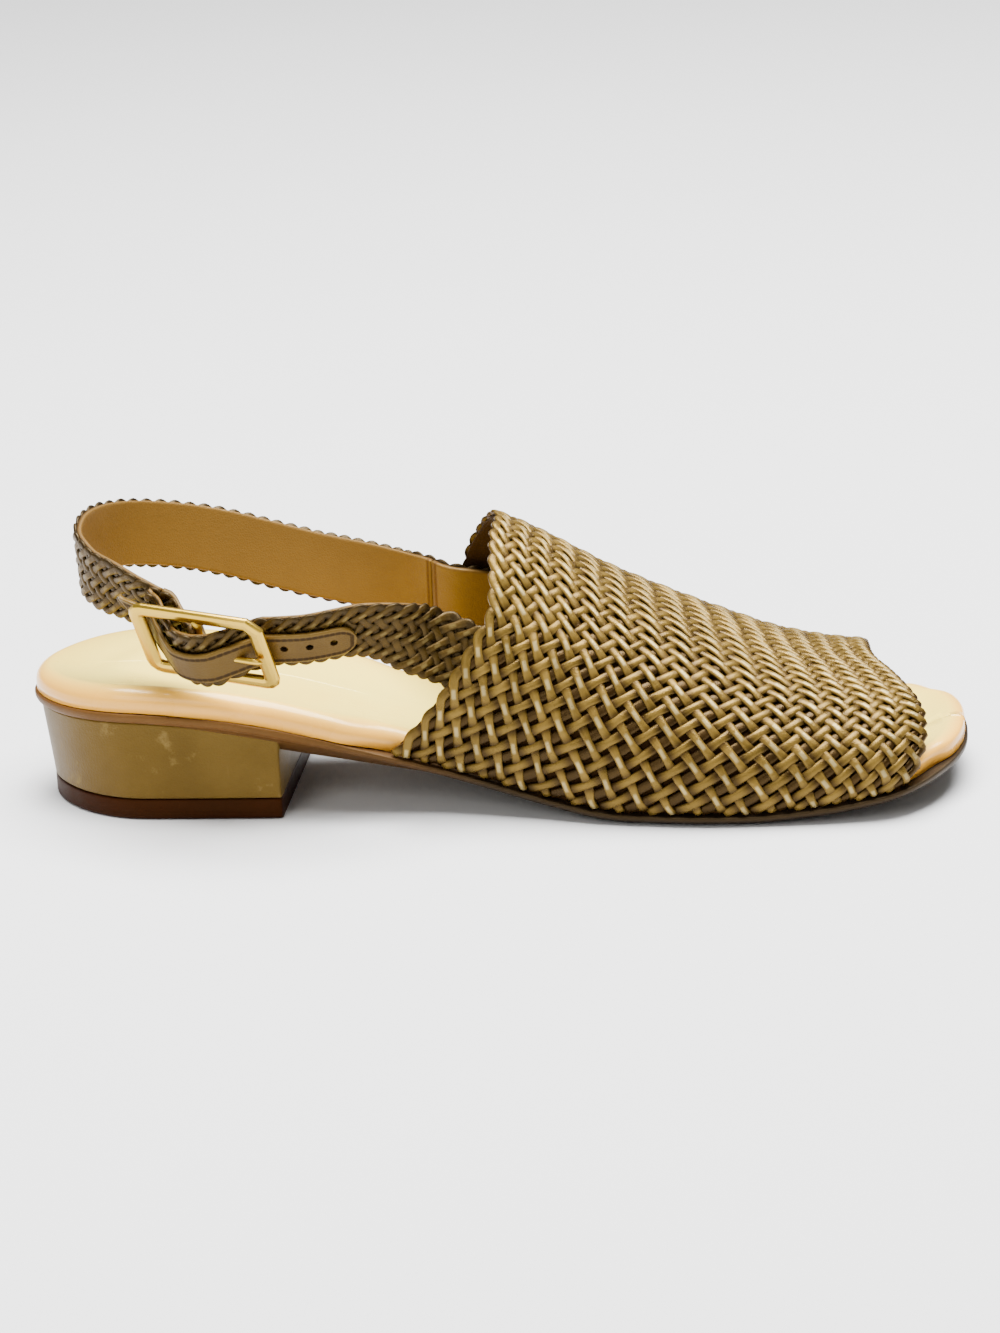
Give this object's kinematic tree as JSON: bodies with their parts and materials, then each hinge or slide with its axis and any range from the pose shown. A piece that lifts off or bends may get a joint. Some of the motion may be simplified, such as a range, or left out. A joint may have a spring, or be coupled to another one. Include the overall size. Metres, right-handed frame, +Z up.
{
  "type": "slingback heel",
  "caption": "Open-toe slingback shoe with a woven vamp, a woven back strap closed by a buckle, a padded footbed and a low block heel.",
  "frame": {"origin": "middle of the footprint's bounding box, on the ground the shoe stands on", "axes": "+X from the heel to the toe, +Y to the inner side of the foot, +Z up"},
  "size_m": [0.268, 0.1002, 0.0808],
  "materials": {
    "outsole": "matt, darker at the forefoot",
    "footbed": "glossy cream top, tan rounded rim",
    "heel_block": "satin, scuffed",
    "heel_top_lift": "matt",
    "upper": "satin metallic finish on woven strips",
    "heel_strap": "satin metallic finish on woven strips, tan lining",
    "front_strap": "satin metallic finish on woven strips, tan lining",
    "hole_tab": "smooth satin",
    "chape": "smooth satin",
    "buckle_frame": "satin gold plate",
    "buckle_prong": "satin gold plate"
  },
  "bodies": {
    "root": {"outsole": "outsole", "footbed": "footbed", "heel_block": "heel_block", "heel_top_lift": "heel_top_lift", "upper": "upper", "heel_strap": "heel_strap", "front_strap": "front_strap", "hole_tab": "hole_tab", "chape": "chape", "buckle_frame": "buckle_frame", "buckle_prong": "buckle_prong"}
  },
  "joints": []
}
